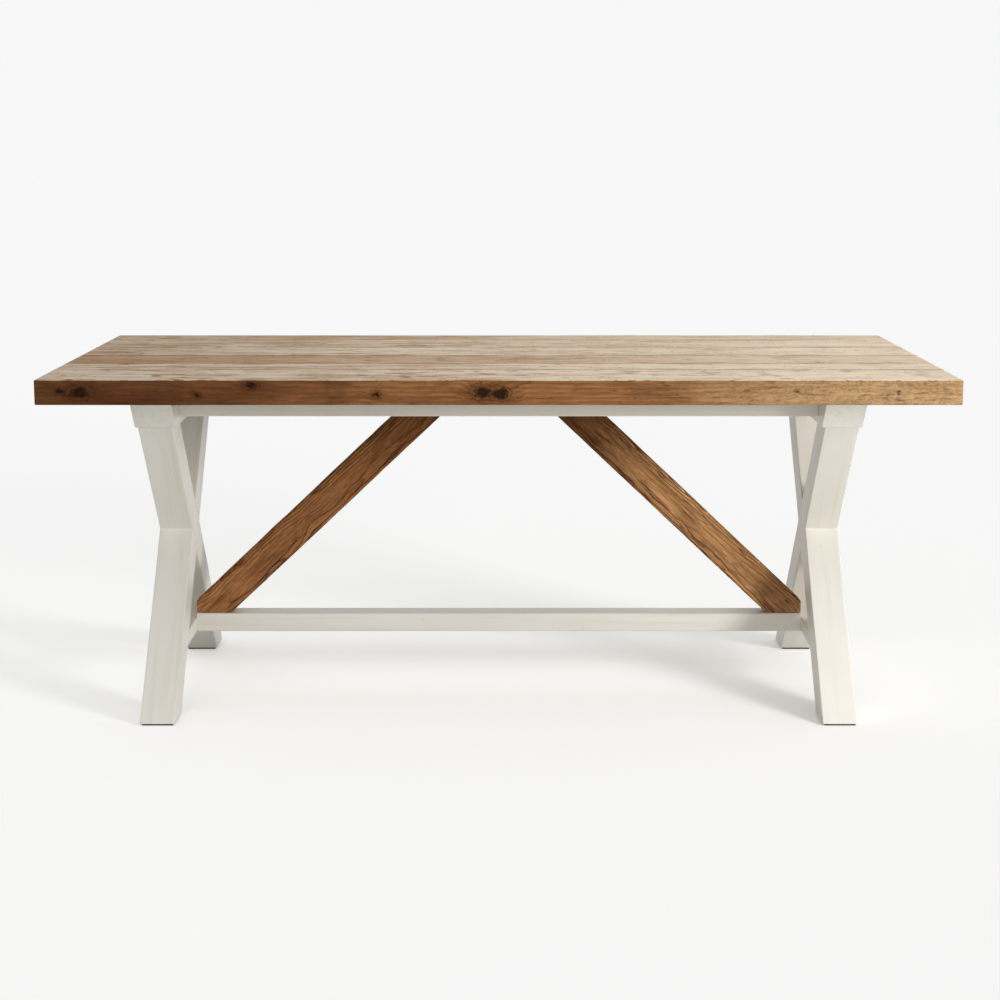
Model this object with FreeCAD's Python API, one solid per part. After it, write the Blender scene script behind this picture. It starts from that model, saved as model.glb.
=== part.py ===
import FreeCAD, Part
import math
import os

# A sawbuck table: a plank top on two X frames, tied by a low stretcher, two raking braces
# and a pair of aprons. Lengths are in millimetres. X runs along the table, Y from its front
# to its rear and Z up. The origin is on the floor, under the middle of the top.

# Whole table
table_length = 1900.0
table_depth = 950.0
table_height = 760.0

# Top boards, from front to rear, with loose tongues in stopped grooves
top_thickness = 52.0
board_width_shares = (0.200, 0.126, 0.178, 0.186, 0.186, 0.124)
top_arris_radius = 3.0
board_joint_bevel = 0.8
tongue_width = 24.0
tongue_thickness = 10.0
tongue_height_share = 0.6
tongue_end_stop = 45.0
tongue_clearance = 0.2

# X frames
frame_inset = 177.0
leg_width = 75.0
leg_depth = 75.0
leg_arris = 2.5
crossing_height = 369.0
foot_spread = 764.0
lap_clearance = 0.2
glide_thickness = 4.0
glide_inset = 4.0

# Bearers on the X frames, and the legs' tenons in them
bearer_height = 72.0
bearer_proud = 6.0
bearer_arris = 2.5
leg_tenon_width_share = 0.34
leg_tenon_length_share = 0.6
leg_tenon_height = 38.0
tenon_clearance = 0.2

# Aprons and the centre bearer between them
apron_height = 55.0
apron_thickness = 28.0
apron_setback = 52.0
apron_arris = 1.5
centre_bearer_width = 140.0

# Stretcher, and the cross rails that carry it
stretcher_top = 165.0
stretcher_height = 42.5
stretcher_depth = 58.0
stretcher_arris = 2.5
rail_height = 32.0
rail_tenon_width_share = 0.34
rail_tenon_height_share = 0.6
rail_tenon_length = 30.0

# Braces, cut plumb at the foot where they meet the frames
brace_width = 76.0
brace_thickness = 46.0
brace_head_offset = 98.0
brace_foot_inset = 25.0
brace_arris = 2.0

# Screws up into the top
screw_radius = 2.5
screw_head_radius = 5.0
screw_head_height = 3.0
screw_grip = 32.0
screw_tip_gap = 2.0
bearer_screw_width_share = 0.25
bearer_screw_length_share = 0.35
centre_screw_width_share = 0.3
centre_screw_length_share = 0.6
apron_screw_shares = (-0.8, -0.3, 0.3, 0.8)
brace_screw_shares = (-0.25, 0.25)

# Screws up through the stretcher into the brace feet
foot_screw_sink = 10.0
foot_screw_place_share = 0.2
foot_screw_bite_share = 0.45

# Dowels
dowel_radius = 5.0
dowel_length = 40.0
lap_dowel_share = 0.4
apron_dowel_share = 0.25
centre_dowel_share = 0.5

# Bolts and barrel nuts that hold the stretcher
bolt_radius = 4.0
bolt_head_radius = 6.5
bolt_head_height = 8.0
bolt_sink = 12.0
bolt_spacing = 36.0
bolt_tail = 9.0
nut_radius = 6.0
nut_length = 20.0
nut_depth = 40.0

# Holes and cuts
bore_clearance = 0.15
cut_overrun = 5.0
rod_sides = 12
parallel_tolerance = 1e-6

along_x = FreeCAD.Vector(1, 0, 0)
along_y = FreeCAD.Vector(0, 1, 0)
along_z = FreeCAD.Vector(0, 0, 1)

# Places worked out from the sizes above
half_length = table_length / 2
half_depth = table_depth / 2
top_under = table_height - top_thickness
tongue_middle = top_under + tongue_height_share * top_thickness
screw_bite = tongue_middle - tongue_thickness / 2 - screw_tip_gap - top_under

frame_outer = half_length - frame_inset
frame_inner = frame_outer - leg_width
frame_middle = (frame_outer + frame_inner) / 2
bearer_under = top_under - bearer_height
bearer_outer = frame_outer + bearer_proud
bearer_inner = frame_inner - bearer_proud

# The legs' angle follows from the spread of the feet below the crossing
foot_drop = crossing_height - glide_thickness
foot_reach = math.hypot(foot_spread / 2, foot_drop)
leg_angle = math.atan2(foot_drop, foot_spread / 2) + math.asin(leg_depth / 2 / foot_reach)
leg_slope = math.tan(leg_angle)
leg_half_run = leg_depth / 2 / math.sin(leg_angle)

rail_under = stretcher_top - stretcher_height
rail_middle = rail_under + rail_height / 2

# The braces' angle follows from where their centre lines start and end
brace_foot_offset = frame_inner - brace_foot_inset
brace_rise = top_under - stretcher_top
brace_run = brace_foot_offset - brace_head_offset
brace_slope = brace_rise / brace_run
brace_half_run = brace_width / 2 / math.sin(math.atan(brace_slope))


def leg_run(height):
    """How far a leg's centre line has leaned from the crossing at a height."""
    return (height - crossing_height) / leg_slope


bearer_half_under = leg_half_run + leg_run(bearer_under)
bearer_half_top = leg_half_run + leg_run(top_under)
apron_outer = bearer_half_under - apron_setback
apron_inner = apron_outer - apron_thickness
apron_middle = (apron_outer + apron_inner) / 2
apron_under = top_under - apron_height
apron_mid_height = (apron_under + top_under) / 2
leg_tenon_width = leg_tenon_width_share * leg_width
leg_tenon_length = leg_tenon_length_share * 2 * leg_half_run


def block(low, high):
    """A box between its lowest and its highest corner."""
    size = [end - start for start, end in zip(low, high)]
    return Part.makeBox(*size, FreeCAD.Vector(*low))


def grown_block(low, high, room):
    """A box that leaves the same room on every side of another."""
    return block([start - room for start in low], [end + room for end in high])


def prism(corners, sweep):
    """A flat outline swept along a straight line."""
    points = [FreeCAD.Vector(*corner) for corner in corners]
    return Part.Face(Part.makePolygon(points + points[:1])).extrude(sweep)


def side_prism(outline, low, high):
    """An outline in Y and Z, swept along X between two places."""
    return prism([(low, y, z) for y, z in outline], along_x * (high - low))


def front_prism(outline, low, high):
    """An outline in X and Z, swept along Y between two places."""
    return prism([(x, low, z) for x, z in outline], along_y * (high - low))


def edges_along(solid, direction):
    """The edges of a solid that run along a direction."""
    return [
        edge for edge in solid.Edges
        if edge.tangentAt(edge.FirstParameter).cross(direction).Length < parallel_tolerance
    ]


def eased(solid, direction, arris):
    """A timber with its edges along the grain planed off."""
    return solid.makeChamfer(arris, edges_along(solid, direction))


def mirrored(solid):
    """The same piece at the other end of the table."""
    return solid.mirror(FreeCAD.Vector(0, 0, 0), along_x)


def rim(radius, middle, direction):
    """The outline of a slim round bar, with a few flats, about its axis."""
    spoke = along_x if direction.z else along_z
    across = direction.cross(spoke)
    points = []
    for flat in range(rod_sides):
        turn = 2 * math.pi * flat / rod_sides
        points.append(middle + (spoke * math.cos(turn) + across * math.sin(turn)) * radius)
    return Part.makePolygon(points + points[:1])


def rod(radius, length, start, direction):
    """A slim round bar, or a hole for one, from a start along a direction."""
    return Part.Face(rim(radius, start, direction)).extrude(direction * length)


def screw(seat, length):
    """A wood screw pointing up, with the underside of its head at its seat."""
    tip = 2 * screw_radius
    shoulder = seat + along_z * (length - tip)
    head = rod(screw_head_radius, screw_head_height, seat - along_z * screw_head_height, along_z)
    shank = rod(screw_radius, length - tip, seat, along_z)
    end = Part.Vertex(shoulder + along_z * tip)
    point = Part.makeLoft([rim(screw_radius, shoulder, along_z), end], True)
    return head.multiFuse([shank, point]).removeSplitter()


def screw_hole(seat, length, depth):
    """The hole for a screw, counterbored from below its seat by a depth."""
    pocket_depth = depth + cut_overrun
    pocket = rod(screw_head_radius + bore_clearance, pocket_depth, seat - along_z * pocket_depth, along_z)
    bore = rod(screw_radius + bore_clearance, length + bore_clearance, seat, along_z)
    return pocket.fuse(bore)


def dowel(middle, direction):
    """A dowel about its middle."""
    return rod(dowel_radius, dowel_length, middle - direction * (dowel_length / 2), direction)


def dowel_hole(middle, direction):
    """The two holes that a dowel needs, as one cut."""
    length = dowel_length + 2 * bore_clearance
    return rod(dowel_radius + bore_clearance, length, middle - direction * (length / 2), direction)


def leg_outline(lean, half_run, low, high):
    """A leg's four corners in Y and Z; a lean of 1 rises to the rear, -1 to the front."""
    low_middle = lean * leg_run(low)
    high_middle = lean * leg_run(high)
    return [
        (low_middle - half_run, low),
        (low_middle + half_run, low),
        (high_middle + half_run, high),
        (high_middle - half_run, high),
    ]


def leg_tenon_box(lean):
    """Lowest and highest corner of a leg's tenon in its bearer."""
    middle = lean * leg_run(bearer_under)
    across = leg_tenon_width / 2
    along = leg_tenon_length / 2
    low = (frame_middle - across, middle - along, bearer_under)
    high = (frame_middle + across, middle + along, bearer_under + leg_tenon_height)
    return low, high


def rail_half_length(height):
    """Half the clear width between the lower legs at a height."""
    return leg_run(crossing_height) - leg_run(height) - leg_half_run


def rail_tenon_box():
    """Lowest and highest corner of the bar that ends in a cross rail's two tenons."""
    half_width = rail_tenon_width_share * leg_width / 2
    half_height = rail_tenon_height_share * rail_height / 2
    reach = rail_half_length(rail_middle) + rail_tenon_length
    low = (frame_middle - half_width, -reach, rail_middle - half_height)
    high = (frame_middle + half_width, reach, rail_middle + half_height)
    return low, high


def lap_dowel_places():
    """Middles of the dowels in a crossing, side by side on the lap's plane."""
    offset = lap_dowel_share * leg_half_run
    return [FreeCAD.Vector(frame_middle, side * offset, crossing_height) for side in (-1, 1)]


def right_leg(lean):
    """A leg of the right frame: half-lapped, tenoned at its head and mortised for the cross rail."""
    outline = leg_outline(lean, leg_half_run, glide_thickness, bearer_under)
    timber = side_prism(outline, frame_inner, frame_outer)
    grain = FreeCAD.Vector(0, lean * math.cos(leg_angle), math.sin(leg_angle))
    timber = eased(timber, grain, leg_arris)
    timber = timber.fuse(block(*leg_tenon_box(lean))).removeSplitter()
    lap_half_run = leg_half_run + lap_clearance / math.sin(leg_angle)
    other_leg = leg_outline(-lean, lap_half_run, glide_thickness, bearer_under)
    if lean > 0:
        lap = side_prism(other_leg, frame_inner - cut_overrun, frame_middle)
    else:
        lap = side_prism(other_leg, frame_middle, frame_outer + cut_overrun)
    mortise = grown_block(*rail_tenon_box(), tenon_clearance)
    dowel_holes = [dowel_hole(place, along_x) for place in lap_dowel_places()]
    return timber.cut([lap, mortise] + dowel_holes)


def right_glide(lean):
    """The pad under a leg's foot."""
    middle = lean * leg_run(glide_thickness)
    reach = leg_half_run - glide_inset
    return block((frame_inner + glide_inset, middle - reach, 0),
                 (frame_outer - glide_inset, middle + reach, glide_thickness))


def apron_dowel_places():
    """Middles of the dowels between the right bearer and the ends of both aprons."""
    offset = apron_dowel_share * apron_height
    return [
        FreeCAD.Vector(bearer_inner, side * apron_middle, apron_mid_height + level * offset)
        for side in (-1, 1) for level in (-1, 1)
    ]


def bearer_screw_seats():
    """Seats of the screws in the right bearer, between the heads of its legs."""
    across = bearer_screw_width_share * (bearer_outer - bearer_inner)
    along = bearer_screw_length_share * (leg_run(bearer_under) - leg_half_run)
    return [
        FreeCAD.Vector(frame_middle + row * across, side * along, top_under - screw_grip)
        for row in (-1, 1) for side in (-1, 1)
    ]


def right_bearer():
    """The bar on the right frame that carries the top, with its ends on the legs' slope."""
    outline = [
        (-bearer_half_under, bearer_under),
        (bearer_half_under, bearer_under),
        (bearer_half_top, top_under),
        (-bearer_half_top, top_under),
    ]
    bar = eased(side_prism(outline, bearer_inner, bearer_outer), along_y, bearer_arris)
    cuts = [grown_block(*leg_tenon_box(lean), tenon_clearance) for lean in (-1, 1)]
    cuts += [dowel_hole(place, along_x) for place in apron_dowel_places()]
    depth = bearer_height - screw_grip
    cuts += [screw_hole(seat, screw_grip + screw_bite, depth) for seat in bearer_screw_seats()]
    return bar.cut(cuts)


def centre_dowel_places():
    """Middles of the dowels between the centre bearer and both aprons."""
    offset = centre_dowel_share * centre_bearer_width / 2
    return [
        FreeCAD.Vector(row * offset, side * apron_inner, apron_mid_height)
        for row in (-1, 1) for side in (-1, 1)
    ]


def centre_screw_seats():
    """Seats of the screws in the centre bearer."""
    across = centre_screw_width_share * centre_bearer_width / 2
    along = centre_screw_length_share * apron_inner
    return [
        FreeCAD.Vector(row * across, side * along, top_under - screw_grip)
        for row in (-1, 1) for side in (-1, 1)
    ]


def centre_bearer():
    """The cross bar under the middle of the top, between the aprons."""
    half_width = centre_bearer_width / 2
    bar = block((-half_width, -apron_inner, apron_under), (half_width, apron_inner, top_under))
    bar = eased(bar, along_y, apron_arris)
    cuts = [dowel_hole(place, along_y) for place in centre_dowel_places()]
    depth = apron_height - screw_grip
    cuts += [screw_hole(seat, screw_grip + screw_bite, depth) for seat in centre_screw_seats()]
    return bar.cut(cuts)


def apron_screw_seats(side):
    """Seats of the screws along an apron; side is -1 at the front and 1 at the rear."""
    return [
        FreeCAD.Vector(share * bearer_inner, side * apron_middle, top_under - screw_grip)
        for share in apron_screw_shares
    ]


def apron(side):
    """The long rail between the bearers; side is -1 at the front and 1 at the rear."""
    near, far = sorted((side * apron_inner, side * apron_outer))
    rail = block((-bearer_inner, near, apron_under), (bearer_inner, far, top_under))
    rail = eased(rail, along_x, apron_arris)
    right_ends = [dowel_hole(place, along_x) for place in apron_dowel_places()]
    cuts = right_ends + [mirrored(hole) for hole in right_ends]
    cuts += [dowel_hole(place, along_y) for place in centre_dowel_places()]
    depth = apron_height - screw_grip
    cuts += [screw_hole(seat, screw_grip + screw_bite, depth) for seat in apron_screw_seats(side)]
    return rail.cut(cuts)


def bolt_places():
    """The bolts' axes in Y."""
    return [side * bolt_spacing / 2 for side in (-1, 1)]


def right_bolt(y):
    """A bolt through the right cross rail into the stretcher."""
    seat = FreeCAD.Vector(frame_outer - bolt_sink, y, rail_middle)
    length = leg_width - bolt_sink + nut_depth + bolt_tail
    head = rod(bolt_head_radius, bolt_head_height, seat, along_x)
    shank = rod(bolt_radius, length, seat, -along_x)
    return head.fuse(shank).removeSplitter()


def right_bolt_hole(y):
    """The hole that a bolt needs in the right cross rail and the stretcher."""
    seat = FreeCAD.Vector(frame_outer - bolt_sink, y, rail_middle)
    length = leg_width - bolt_sink + nut_depth + bolt_tail + bore_clearance
    pocket = rod(bolt_head_radius + bore_clearance, bolt_sink + cut_overrun, seat, along_x)
    bore = rod(bolt_radius + bore_clearance, length, seat, -along_x)
    return pocket.fuse(bore)


def right_nut(y):
    """The barrel nut that a bolt screws into, upright in the stretcher."""
    middle = FreeCAD.Vector(frame_inner - nut_depth, y, rail_middle)
    barrel = rod(nut_radius, nut_length, middle - along_z * (nut_length / 2), along_z)
    return barrel.cut(right_bolt_hole(y))


def right_nut_hole(y):
    """The hole for a barrel nut, open at the stretcher's underside."""
    low = FreeCAD.Vector(frame_inner - nut_depth, y, rail_under - cut_overrun)
    height = rail_middle + nut_length / 2 + bore_clearance - low.z
    return rod(nut_radius + bore_clearance, height, low, along_z)


def right_cross_rail():
    """The low rail between the feet of the right frame, tenoned into both legs."""
    low, high = rail_under, rail_under + rail_height
    outline = [
        (-rail_half_length(low), low),
        (rail_half_length(low), low),
        (rail_half_length(high), high),
        (-rail_half_length(high), high),
    ]
    rail = eased(side_prism(outline, frame_inner, frame_outer), along_y, stretcher_arris)
    rail = rail.fuse(block(*rail_tenon_box())).removeSplitter()
    return rail.cut([right_bolt_hole(y) for y in bolt_places()])


def brace_edge(height, side):
    """The place in X of an edge of the right brace at a height; side is 1 outside and -1 inside."""
    middle = brace_foot_offset - (height - stretcher_top) / brace_slope
    return middle + side * brace_half_run


def right_foot_screws():
    """Seats and length of the screws from under the stretcher into the right brace's foot."""
    foot_start = brace_edge(stretcher_top, -1)
    x = foot_start + foot_screw_place_share * (frame_inner - foot_start)
    wood_above = (brace_edge(stretcher_top, 1) - x) * brace_slope
    seat_height = rail_under + foot_screw_sink
    length = stretcher_top - seat_height + foot_screw_bite_share * wood_above
    seats = [FreeCAD.Vector(x, share * brace_thickness, seat_height) for share in brace_screw_shares]
    return seats, length


def right_foot_screw_holes():
    """The holes for the screws into the right brace's foot."""
    seats, length = right_foot_screws()
    return [screw_hole(seat, length, foot_screw_sink) for seat in seats]


def stretcher():
    """The low bar from frame to frame."""
    half = stretcher_depth / 2
    bar = block((-frame_inner, -half, rail_under), (frame_inner, half, stretcher_top))
    bar = eased(bar, along_x, stretcher_arris)
    right_cuts = [right_bolt_hole(y) for y in bolt_places()]
    right_cuts += [right_nut_hole(y) for y in bolt_places()]
    right_cuts += right_foot_screw_holes()
    return bar.cut(right_cuts + [mirrored(cut) for cut in right_cuts])


def right_head_screw_seats():
    """Seats of the screws through the right brace's head, in the middle of its flat seat."""
    head_start = max(brace_edge(top_under, -1), centre_bearer_width / 2)
    x = (head_start + brace_edge(top_under, 1)) / 2
    height = top_under - screw_grip
    return [FreeCAD.Vector(x, share * brace_thickness, height) for share in brace_screw_shares]


def right_brace():
    """The raking brace from the stretcher's right end, where it meets the frame, to the centre bearer."""
    outline = [
        (brace_edge(stretcher_top, -1), stretcher_top),
        (brace_edge(stretcher_top, 1), stretcher_top),
        (brace_edge(top_under, 1), top_under),
        (brace_edge(top_under, -1), top_under),
    ]
    bar = front_prism(outline, -brace_thickness / 2, brace_thickness / 2)
    bar = bar.makeChamfer(brace_arris, [edge for edge in bar.Edges if edge.Length > brace_rise])
    half_bearer = centre_bearer_width / 2
    beside_bearer = block((-half_bearer, -half_depth, apron_under), (half_bearer, half_depth, table_height))
    beyond_frame = block((frame_inner, -half_depth, 0), (half_length, half_depth, table_height))
    holes = [screw_hole(seat, screw_grip + screw_bite, brace_rise) for seat in right_head_screw_seats()]
    return bar.cut([beside_bearer, beyond_frame] + holes + right_foot_screw_holes())


def board_joints():
    """The places in Y of the top's front edge, its joints and its rear edge."""
    places = [-half_depth]
    for share in board_width_shares:
        places.append(places[-1] + share * table_depth / sum(board_width_shares))
    return places


def tongue_box(joint):
    """Lowest and highest corner of the loose tongue in a joint."""
    reach = half_length - tongue_end_stop
    low = (-reach, joint - tongue_width / 2, tongue_middle - tongue_thickness / 2)
    high = (reach, joint + tongue_width / 2, tongue_middle + tongue_thickness / 2)
    return low, high


def joint_bevel(joint):
    """The fine vee along a joint on the table's face."""
    outline = [
        (joint - board_joint_bevel, table_height),
        (joint, table_height - board_joint_bevel),
        (joint + board_joint_bevel, table_height),
    ]
    return side_prism(outline, -half_length, half_length)


def top_screw_seats():
    """Seats of every screw that goes up into the top."""
    right_seats = bearer_screw_seats() + right_head_screw_seats()
    left_seats = [FreeCAD.Vector(-seat.x, seat.y, seat.z) for seat in right_seats]
    return right_seats + left_seats + centre_screw_seats() + apron_screw_seats(-1) + apron_screw_seats(1)


def top_boards():
    """The boards of the top, from front to rear."""
    slab = block((-half_length, -half_depth, top_under), (half_length, half_depth, table_height))
    slab = slab.makeFillet(top_arris_radius, slab.Edges)
    joints = board_joints()
    cuts = [grown_block(*tongue_box(joint), tongue_clearance) for joint in joints[1:-1]]
    cuts += [joint_bevel(joint) for joint in joints[1:-1]]
    cuts += [screw_hole(seat, screw_grip + screw_bite, 0) for seat in top_screw_seats()]
    boards = []
    for front, rear in zip(joints[:-1], joints[1:]):
        strip = block((-half_length, front, top_under), (half_length, rear, table_height))
        boards.append(slab.common(strip).cut(cuts))
    return boards


def write_node(name, solids):
    """Writes one node: a single solid, or a group of like fasteners."""
    shape = solids[0] if len(solids) == 1 else Part.makeCompound(solids)
    shape.exportStep(f"parts/{name}.step")


def with_left(solids):
    """Pieces of the right end, with their twins of the left end."""
    return solids + [mirrored(solid) for solid in solids]


def build():
    """Every node of the table, by name."""
    nodes = {}
    for number, board in enumerate(top_boards(), 1):
        nodes[f"top_board_{number}"] = [board]
    for number, joint in enumerate(board_joints()[1:-1], 1):
        nodes[f"board_tongue_{number}"] = [block(*tongue_box(joint))]
    right_pieces = {
        "leg_rising_rear": right_leg(1),
        "leg_rising_front": right_leg(-1),
        "glide_front": right_glide(1),
        "glide_rear": right_glide(-1),
        "bearer": right_bearer(),
        "cross_rail": right_cross_rail(),
        "brace": right_brace(),
    }
    for name, piece in right_pieces.items():
        nodes[f"right_{name}"] = [piece]
        nodes[f"left_{name}"] = [mirrored(piece)]
    nodes["centre_bearer"] = [centre_bearer()]
    nodes["front_apron"] = [apron(-1)]
    nodes["rear_apron"] = [apron(1)]
    nodes["stretcher"] = [stretcher()]
    foot_seats, foot_length = right_foot_screws()
    nodes["top_screws"] = [screw(seat, screw_grip + screw_bite) for seat in top_screw_seats()]
    nodes["brace_foot_screws"] = with_left([screw(seat, foot_length) for seat in foot_seats])
    nodes["lap_dowels"] = with_left([dowel(place, along_x) for place in lap_dowel_places()])
    nodes["apron_dowels"] = with_left([dowel(place, along_x) for place in apron_dowel_places()])
    nodes["centre_bearer_dowels"] = [dowel(place, along_y) for place in centre_dowel_places()]
    nodes["stretcher_bolts"] = with_left([right_bolt(y) for y in bolt_places()])
    nodes["barrel_nuts"] = with_left([right_nut(y) for y in bolt_places()])
    return nodes


os.makedirs("parts", exist_ok=True)
for node_name, node_solids in build().items():
    write_node(node_name, node_solids)
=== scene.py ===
import math

import bmesh
import bpy
import numpy as np
from bpy.props import FloatProperty, FloatVectorProperty, PointerProperty
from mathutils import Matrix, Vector, noise


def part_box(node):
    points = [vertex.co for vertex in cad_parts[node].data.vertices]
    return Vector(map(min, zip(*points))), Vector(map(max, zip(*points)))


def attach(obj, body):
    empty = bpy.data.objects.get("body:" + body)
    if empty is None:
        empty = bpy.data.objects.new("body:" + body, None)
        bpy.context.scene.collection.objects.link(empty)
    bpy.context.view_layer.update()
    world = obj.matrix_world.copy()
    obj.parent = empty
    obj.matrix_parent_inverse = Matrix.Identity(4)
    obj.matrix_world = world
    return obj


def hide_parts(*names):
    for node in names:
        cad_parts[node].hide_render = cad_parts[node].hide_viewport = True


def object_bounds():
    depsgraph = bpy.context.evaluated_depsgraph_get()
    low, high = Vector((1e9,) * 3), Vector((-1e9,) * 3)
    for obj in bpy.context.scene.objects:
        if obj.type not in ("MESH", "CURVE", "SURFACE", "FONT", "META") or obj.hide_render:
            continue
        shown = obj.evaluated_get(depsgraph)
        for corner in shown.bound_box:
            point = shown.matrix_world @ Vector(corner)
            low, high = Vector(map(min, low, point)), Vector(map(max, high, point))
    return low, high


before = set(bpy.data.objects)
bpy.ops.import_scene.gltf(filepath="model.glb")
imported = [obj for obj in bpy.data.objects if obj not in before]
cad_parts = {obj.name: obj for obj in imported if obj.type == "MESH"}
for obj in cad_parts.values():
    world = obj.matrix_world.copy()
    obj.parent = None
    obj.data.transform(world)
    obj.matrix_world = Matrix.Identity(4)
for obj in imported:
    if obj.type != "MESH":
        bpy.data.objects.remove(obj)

bl_info = {
    "name": "Sawbuck table",
    "version": (1, 0, 0),
    "blender": (4, 5, 0),
    "location": "3D View > Sidebar > Sawbuck table",
    "description": "Dresses the sawbuck table's frame in scrubbed oak, cream paint and hewn braces",
    "category": "Object",
}

CAD_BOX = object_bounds()
SIDES = ("left", "right")
BOARDS = sorted(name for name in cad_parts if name.startswith("top_board_"))
LONG_TIMBERS = ("front_apron", "rear_apron", "stretcher")
GLIDES = [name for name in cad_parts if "_glide_" in name]
SCREWED = ("top_screws", "brace_foot_screws")
BOLTED = ("stretcher_bolts",)
DOWELS = [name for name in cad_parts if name.endswith("_dowels")]
TONGUES = [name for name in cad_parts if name.startswith("board_tongue")]

# Grid lines over an arris, in shares of its radius, and the spacing of the lines between.
ARRIS_SHARES = (0.0, 0.35, 0.7, 1.0, 1.9)
BOARD_SPACING = 0.011
TIMBER_SPACING = 0.020
BRACE_SPACING = 0.009
# How far from an edge its wear, a brace's strong lines and a joint's dirt reach.
WEAR_BAND = 0.0045
RIM_BAND = 0.034
SEAM_BAND = 0.016
# Rounding of a painted timber's sawn ends, which the paint fills where they meet the next piece.
END_ARRIS = 0.0003
# A glide's rounding, as a share of its height.
GLIDE_ARRIS_SHARE = 0.25
# How upright a board's surface is where its scrubbed look begins and where it is full.
UPWARD_LOW = 0.45
UPWARD_HIGH = 0.85
# Edges that turn by more than this look sharp.
SMOOTH_ANGLE = math.radians(38)
# Places on a node, and corners of a solid, that are closer than these are one.
NEAR = 0.0002
SAME_CORNER = 0.00002
# How far cutters reach past what they cut, and the room round a sunk head.
OVERRUN = 0.010
HOLE_REACH = 0.10
HOLE_CLEARANCE = 0.00015

# Sides of turned fixings and of their sockets.
TURNED_SIDES = 24
HEX_SIDES = 6
# Points of a fixing beyond this share of its greatest radius are its head's.
HEAD_SHARE = 0.9
# Socket and chamfer in shares of the head's radius, the socket's depth in shares of the head's height,
# and the flat of a tip in shares of the radius before it.
SOCKET_SHARE = 0.52
SOCKET_DEPTH_SHARE = 0.6
CHAMFER_SHARE = 0.16
TIP_SHARE = 0.25

# Turns to the metre, along each side of a piece, of the noise that shapes its edges and faces.
PAINT_TURNS = (14.0, 14.0, 14.0)
HEWN_EDGE_TURNS = (26.0, 40.0, 40.0)
HEWN_FACE_TURNS = (9.0, 22.0, 22.0)
WORN_EDGE_TURNS = (6.0, 6.0, 6.0)
CHIP_TURNS = (24.0, 9.0, 9.0)
SCRUB_TURNS = (5.0, 34.0, 5.0)
# Where that noise starts for each kind of piece, and for each of the two braces.
BEARER_START = 11.0
RAIL_START = 21.0
LONG_START = 31.0
CENTRE_START = 41.0
HEWN_EDGE_STARTS = (60.0, 67.0)
HEWN_FACE_STARTS = (80.0, 85.0)
CHIP_START = 3.0
SCRUB_START = 20.0
# How far apart along the grain like pieces are taken, so that no two have the same figure.
BOARD_GRAIN = 2.5
LEG_GRAIN = 3.0
TIMBER_GRAIN = 5.0
BRACE_GRAIN = 2.0
# Least share of a painted arris, and the share that the noise adds.
PAINT_THIN = 0.8
PAINT_THICK = 0.5
# How much a board's plain wear counts beside its chips, and the noise over which an edge is chipped.
PLAIN_WEAR = 0.5
CHIP_LEVEL = 0.62
# How suddenly the hewn stretches of a brace's edge begin.
HEWN_GAIN = 2.2

# Depth of each finish's relief.
OAK_RELIEF = 0.0007
BRACE_RELIEF = 0.0010
PAINT_RELIEF = 0.0003
BEECH_RELIEF = 0.0002
RUBBER_RELIEF = 0.0002
PLATING_RELIEF = 0.00005
# Specular level of bare wood, and of the other finishes.
WOOD_SHINE = 0.06
COMMON_SHINE = 0.5
# From where to where along the table its streaks fade, its scrubbed face lightens and its edges lighten. The
# face's lightening is painted light of the lamp on the right; the streaks' browner left end and the edges'
# change from dark to light are partly the wood's own tone and partly painted shade and light.
STREAK_FADE = (-1.1, 1.1)
FACE_LIGHT_FADE = (-1.1, 0.9)
EDGE_TONE_AND_LIGHT_FADE = (-0.95, 1.10)
# From where to where, out from the table's middle, a brace leaves its head's tone and takes its foot's; the
# head's darker tone is painted shade under the table top.
SHADED_HEAD_FADE = (0.18, 0.42)
FOOT_FADE = (0.50, 0.68)
# Growth rings: how much they lean along the grain, how far they sway, and how far a knot pushes them aside.
BOARD_LEAN = 0.0035
BOARD_SWAY = 0.034
BRACE_LEAN = 0.010
BRACE_SWAY = 0.016
KNOT_PUSH = 0.014
# How ragged a knot's outline is, along and across the grain, and how deep the knot goes.
KNOT_RAGGED = (0.030, 0.022, 0.022)
KNOT_DEPTH = 0.016
# Shader values of the dark inside a brace's cracks, and of the middle of a cloudy colour.
CRACK_BLACK = (0.010, 0.010, 0.010)
MIDDLE = (0.5, 0.5, 0.5)

# Each board's pith, across from its middle and over its underside.
BOARD_PITHS = ((0.01, -0.09), (-0.05, -0.05), (0.02, -0.12), (0.06, -0.07), (-0.03, -0.10), (0.04, -0.06))
# How brown each board's face is, and how strongly it is marked.
BOARD_WARMTHS = (0.02, 0.08, 0.50, 0.03, 0.12, 0.26)
BOARD_MARKS = (0.85, 0.35, 0.50, 0.30, 0.40, 0.45)
# Tone of a board's edges at the table's two ends, from dark at 0 to light at 1: partly the wood's own tone
# and partly painted shade at the left end and painted light at the right.
FRONT_TONES = (0.11, 0.93)
OTHER_TONES = (0.30, 0.66)
# Knots in the front board's edge: place along the table, height over the underside, half sizes along and up.
EDGE_KNOTS = (
    (-0.895, 0.028, 0.009, 0.0070),
    (-0.857, 0.025, 0.024, 0.0125),
    (-0.617, 0.020, 0.007, 0.0060),
    (-0.506, 0.042, 0.016, 0.0075),
    (-0.250, 0.022, 0.008, 0.0055),
    (-0.033, 0.027, 0.020, 0.0140),
    (0.003, 0.024, 0.020, 0.0125),
    (0.611, 0.030, 0.003, 0.0025),
    (0.820, 0.026, 0.0022, 0.0018),
)
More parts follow.
